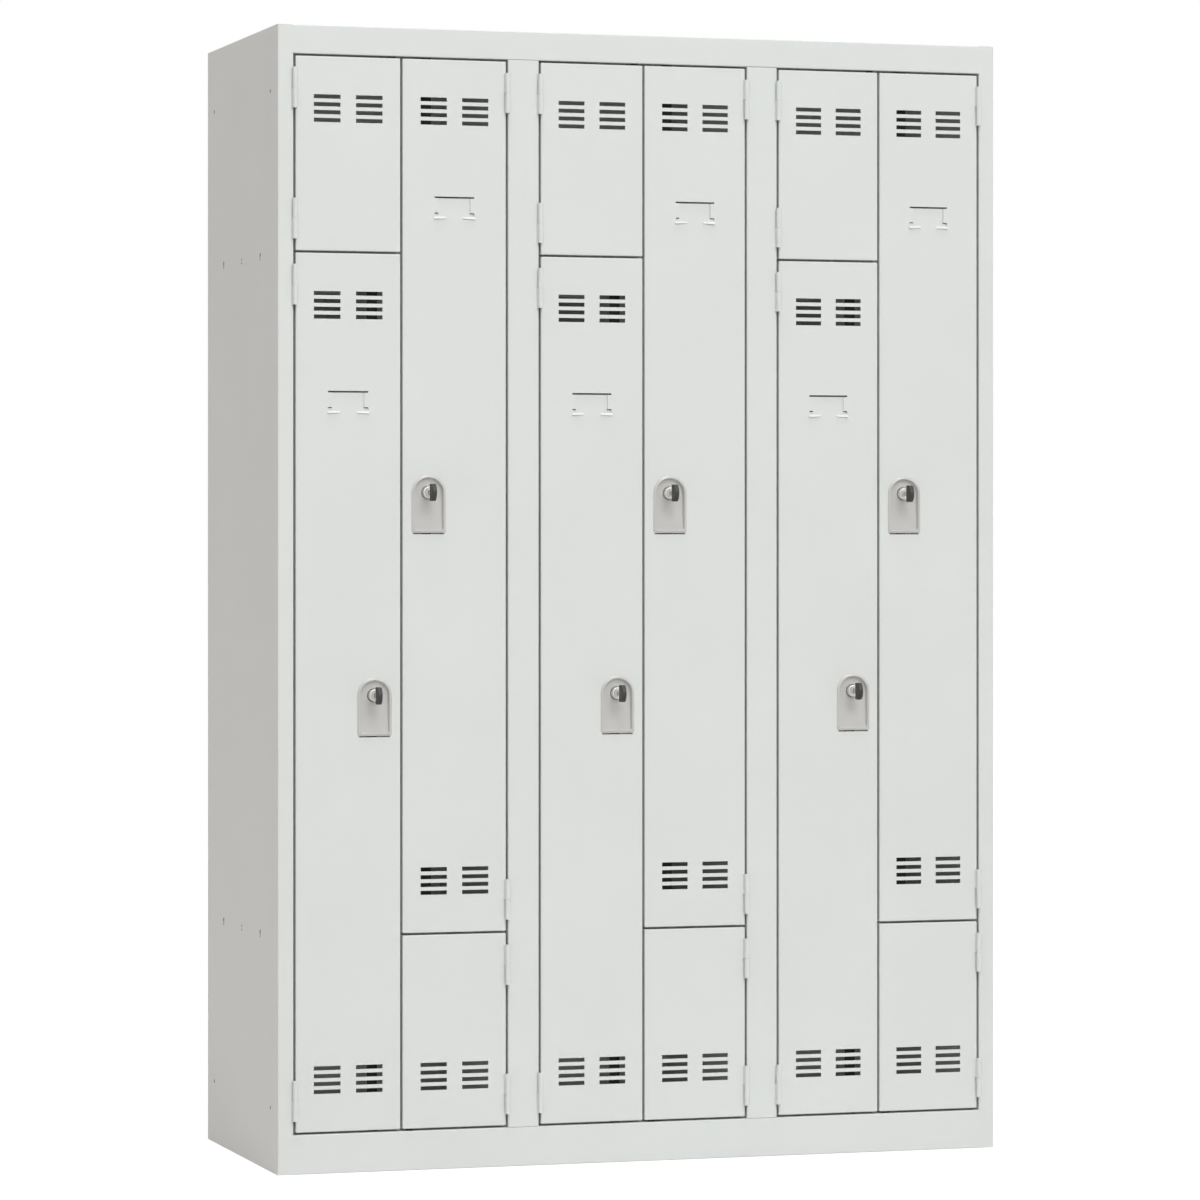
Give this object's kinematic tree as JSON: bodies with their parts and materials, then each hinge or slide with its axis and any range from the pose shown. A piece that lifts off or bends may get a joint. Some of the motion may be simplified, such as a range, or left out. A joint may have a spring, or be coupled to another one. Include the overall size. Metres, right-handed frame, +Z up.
{
  "type": "z locker",
  "caption": "Free-standing steel Z locker with tall and small hinged doors, vent slots, card holders, recessed key locks, locking bars and Z-shaped dividers.",
  "frame": {"origin": "on the floor, under the middle of the whole locker with its keys", "axes": "+Z up, the doors face -Y, +X to the right as seen from the front"},
  "size_m": [1.2, 0.539, 1.8],
  "materials": {
    "powder_coated_steel": "light grey powder coat, semi-matt",
    "zinc": "die-cast zinc, satin",
    "black_steel": "black-coated flat bar, semi-matt",
    "black_nylon": "moulded, fine matt"
  },
  "bodies": {
    "carcass": {"side_panel_left": "powder_coated_steel", "side_panel_right": "powder_coated_steel", "top_panel": "powder_coated_steel", "bottom_panel": "powder_coated_steel", "back_panel": "powder_coated_steel", "partition_1": "powder_coated_steel", "partition_2": "powder_coated_steel", "z_divider_1": "powder_coated_steel", "z_divider_2": "powder_coated_steel", "z_divider_3": "powder_coated_steel"},
    "upper_small_door_1": {"upper_small_door_1": "powder_coated_steel"},
    "upper_tall_door_1": {"upper_tall_door_1": "powder_coated_steel", "upper_lock_cup_1": "powder_coated_steel", "upper_lock_barrel_1": "zinc"},
    "lower_tall_door_1": {"lower_tall_door_1": "powder_coated_steel", "lower_lock_cup_1": "powder_coated_steel", "lower_lock_barrel_1": "zinc"},
    "lower_small_door_1": {"lower_small_door_1": "powder_coated_steel"},
    "upper_small_door_2": {"upper_small_door_2": "powder_coated_steel"},
    "upper_tall_door_2": {"upper_tall_door_2": "powder_coated_steel", "upper_lock_cup_2": "powder_coated_steel", "upper_lock_barrel_2": "zinc"},
    "lower_tall_door_2": {"lower_tall_door_2": "powder_coated_steel", "lower_lock_cup_2": "powder_coated_steel", "lower_lock_barrel_2": "zinc"},
    "lower_small_door_2": {"lower_small_door_2": "powder_coated_steel"},
    "upper_small_door_3": {"upper_small_door_3": "powder_coated_steel"},
    "upper_tall_door_3": {"upper_tall_door_3": "powder_coated_steel", "upper_lock_cup_3": "powder_coated_steel", "upper_lock_barrel_3": "zinc"},
    "lower_tall_door_3": {"lower_tall_door_3": "powder_coated_steel", "lower_lock_cup_3": "powder_coated_steel", "lower_lock_barrel_3": "zinc"},
    "lower_small_door_3": {"lower_small_door_3": "powder_coated_steel"},
    "upper_key_1": {"upper_lock_plug_1": "zinc", "upper_key_1": "black_nylon"},
    "lower_key_1": {"lower_lock_plug_1": "zinc", "lower_key_1": "black_nylon"},
    "upper_key_2": {"upper_lock_plug_2": "zinc", "upper_key_2": "black_nylon"},
    "lower_key_2": {"lower_lock_plug_2": "zinc", "lower_key_2": "black_nylon"},
    "upper_key_3": {"upper_lock_plug_3": "zinc", "upper_key_3": "black_nylon"},
    "lower_key_3": {"lower_lock_plug_3": "zinc", "lower_key_3": "black_nylon"},
    "upper_locking_bar_1": {"upper_locking_bar_1": "black_steel"},
    "lower_locking_bar_1": {"lower_locking_bar_1": "black_steel"},
    "upper_locking_bar_2": {"upper_locking_bar_2": "black_steel"},
    "lower_locking_bar_2": {"lower_locking_bar_2": "black_steel"},
    "upper_locking_bar_3": {"upper_locking_bar_3": "black_steel"},
    "lower_locking_bar_3": {"lower_locking_bar_3": "black_steel"},
    "upper_bolt_1": {"upper_bolt_1": "black_steel"},
    "lower_bolt_1": {"lower_bolt_1": "black_steel"},
    "upper_bolt_2": {"upper_bolt_2": "black_steel"},
    "lower_bolt_2": {"lower_bolt_2": "black_steel"},
    "upper_bolt_3": {"upper_bolt_3": "black_steel"},
    "lower_bolt_3": {"lower_bolt_3": "black_steel"}
  },
  "joints": [
    {"name": "upper_small_door_1_hinge", "type": "hinge", "parent": "carcass", "child": "upper_small_door_1", "pos_m": [-0.57285, -0.23525, 1.445], "axis": [0, 0, -1], "range_deg": [0, 95]},
    {"name": "upper_tall_door_1_hinge", "type": "hinge", "parent": "carcass", "child": "upper_tall_door_1", "pos_m": [-0.22715, -0.23525, 0.372], "axis": [0, 0, 1], "range_deg": [0, 95]},
    {"name": "lower_tall_door_1_hinge", "type": "hinge", "parent": "carcass", "child": "lower_tall_door_1", "pos_m": [-0.57285, -0.23525, 0.06375], "axis": [0, 0, -1], "range_deg": [0, 95]},
    {"name": "lower_small_door_1_hinge", "type": "hinge", "parent": "carcass", "child": "lower_small_door_1", "pos_m": [-0.22715, -0.23525, 0.06375], "axis": [0, 0, 1], "range_deg": [0, 95]},
    {"name": "upper_small_door_2_hinge", "type": "hinge", "parent": "carcass", "child": "upper_small_door_2", "pos_m": [-0.17285, -0.23525, 1.445], "axis": [0, 0, -1], "range_deg": [0, 95]},
    {"name": "upper_tall_door_2_hinge", "type": "hinge", "parent": "carcass", "child": "upper_tall_door_2", "pos_m": [0.17285, -0.23525, 0.372], "axis": [0, 0, 1], "range_deg": [0, 95]},
    {"name": "lower_tall_door_2_hinge", "type": "hinge", "parent": "carcass", "child": "lower_tall_door_2", "pos_m": [-0.17285, -0.23525, 0.06375], "axis": [0, 0, -1], "range_deg": [0, 95]},
    {"name": "lower_small_door_2_hinge", "type": "hinge", "parent": "carcass", "child": "lower_small_door_2", "pos_m": [0.17285, -0.23525, 0.06375], "axis": [0, 0, 1], "range_deg": [0, 95]},
    {"name": "upper_small_door_3_hinge", "type": "hinge", "parent": "carcass", "child": "upper_small_door_3", "pos_m": [0.22715, -0.23525, 1.445], "axis": [0, 0, -1], "range_deg": [0, 95]},
    {"name": "upper_tall_door_3_hinge", "type": "hinge", "parent": "carcass", "child": "upper_tall_door_3", "pos_m": [0.57285, -0.23525, 0.372], "axis": [0, 0, 1], "range_deg": [0, 95]},
    {"name": "lower_tall_door_3_hinge", "type": "hinge", "parent": "carcass", "child": "lower_tall_door_3", "pos_m": [0.22715, -0.23525, 0.06375], "axis": [0, 0, -1], "range_deg": [0, 95]},
    {"name": "lower_small_door_3_hinge", "type": "hinge", "parent": "carcass", "child": "lower_small_door_3", "pos_m": [0.57285, -0.23525, 0.06375], "axis": [0, 0, 1], "range_deg": [0, 95]},
    {"name": "upper_key_1_turn", "type": "hinge", "parent": "upper_tall_door_1", "child": "upper_key_1", "pos_m": [-0.356, -0.2305, 1.06815], "axis": [0, -1, 0], "range_deg": [0, 90]},
    {"name": "lower_key_1_turn", "type": "hinge", "parent": "lower_tall_door_1", "child": "lower_key_1", "pos_m": [-0.444, -0.2305, 0.74885], "axis": [0, -1, 0], "range_deg": [0, 90]},
    {"name": "upper_key_2_turn", "type": "hinge", "parent": "upper_tall_door_2", "child": "upper_key_2", "pos_m": [0.044, -0.2305, 1.06815], "axis": [0, -1, 0], "range_deg": [0, 90]},
    {"name": "lower_key_2_turn", "type": "hinge", "parent": "lower_tall_door_2", "child": "lower_key_2", "pos_m": [-0.044, -0.2305, 0.74885], "axis": [0, -1, 0], "range_deg": [0, 90]},
    {"name": "upper_key_3_turn", "type": "hinge", "parent": "upper_tall_door_3", "child": "upper_key_3", "pos_m": [0.444, -0.2305, 1.06815], "axis": [0, -1, 0], "range_deg": [0, 90]},
    {"name": "lower_key_3_turn", "type": "hinge", "parent": "lower_tall_door_3", "child": "lower_key_3", "pos_m": [0.356, -0.2305, 0.74885], "axis": [0, -1, 0], "range_deg": [0, 90]},
    {"name": "upper_locking_bar_1_slide", "type": "slide", "parent": "upper_tall_door_1", "child": "upper_locking_bar_1", "axis": [0, 0, 1], "range_m": [0, 0.01202]},
    {"name": "lower_locking_bar_1_slide", "type": "slide", "parent": "lower_tall_door_1", "child": "lower_locking_bar_1", "axis": [0, 0, -1], "range_m": [0, 0.01202]},
    {"name": "upper_locking_bar_2_slide", "type": "slide", "parent": "upper_tall_door_2", "child": "upper_locking_bar_2", "axis": [0, 0, 1], "range_m": [0, 0.01202]},
    {"name": "lower_locking_bar_2_slide", "type": "slide", "parent": "lower_tall_door_2", "child": "lower_locking_bar_2", "axis": [0, 0, -1], "range_m": [0, 0.01202]},
    {"name": "upper_locking_bar_3_slide", "type": "slide", "parent": "upper_tall_door_3", "child": "upper_locking_bar_3", "axis": [0, 0, 1], "range_m": [0, 0.01202]},
    {"name": "lower_locking_bar_3_slide", "type": "slide", "parent": "lower_tall_door_3", "child": "lower_locking_bar_3", "axis": [0, 0, -1], "range_m": [0, 0.01202]},
    {"name": "upper_bolt_1_slide", "type": "slide", "parent": "upper_small_door_1", "child": "upper_bolt_1", "axis": [0, 0, 1], "range_m": [0, 0.012]},
    {"name": "lower_bolt_1_slide", "type": "slide", "parent": "lower_small_door_1", "child": "lower_bolt_1", "axis": [0, 0, -1], "range_m": [0, 0.012]},
    {"name": "upper_bolt_2_slide", "type": "slide", "parent": "upper_small_door_2", "child": "upper_bolt_2", "axis": [0, 0, 1], "range_m": [0, 0.012]},
    {"name": "lower_bolt_2_slide", "type": "slide", "parent": "lower_small_door_2", "child": "lower_bolt_2", "axis": [0, 0, -1], "range_m": [0, 0.012]},
    {"name": "upper_bolt_3_slide", "type": "slide", "parent": "upper_small_door_3", "child": "upper_bolt_3", "axis": [0, 0, 1], "range_m": [0, 0.012]},
    {"name": "lower_bolt_3_slide", "type": "slide", "parent": "lower_small_door_3", "child": "lower_bolt_3", "axis": [0, 0, -1], "range_m": [0, 0.012]}
  ],
  "couplings": [
    {"joint": "upper_key_1_turn", "follows": "upper_locking_bar_1_slide", "rad_per_m": 130.67},
    {"joint": "lower_key_1_turn", "follows": "lower_locking_bar_1_slide", "rad_per_m": 130.67},
    {"joint": "upper_key_2_turn", "follows": "upper_locking_bar_2_slide", "rad_per_m": 130.67},
    {"joint": "lower_key_2_turn", "follows": "lower_locking_bar_2_slide", "rad_per_m": 130.67},
    {"joint": "upper_key_3_turn", "follows": "upper_locking_bar_3_slide", "rad_per_m": 130.67},
    {"joint": "lower_key_3_turn", "follows": "lower_locking_bar_3_slide", "rad_per_m": 130.67}
  ]
}
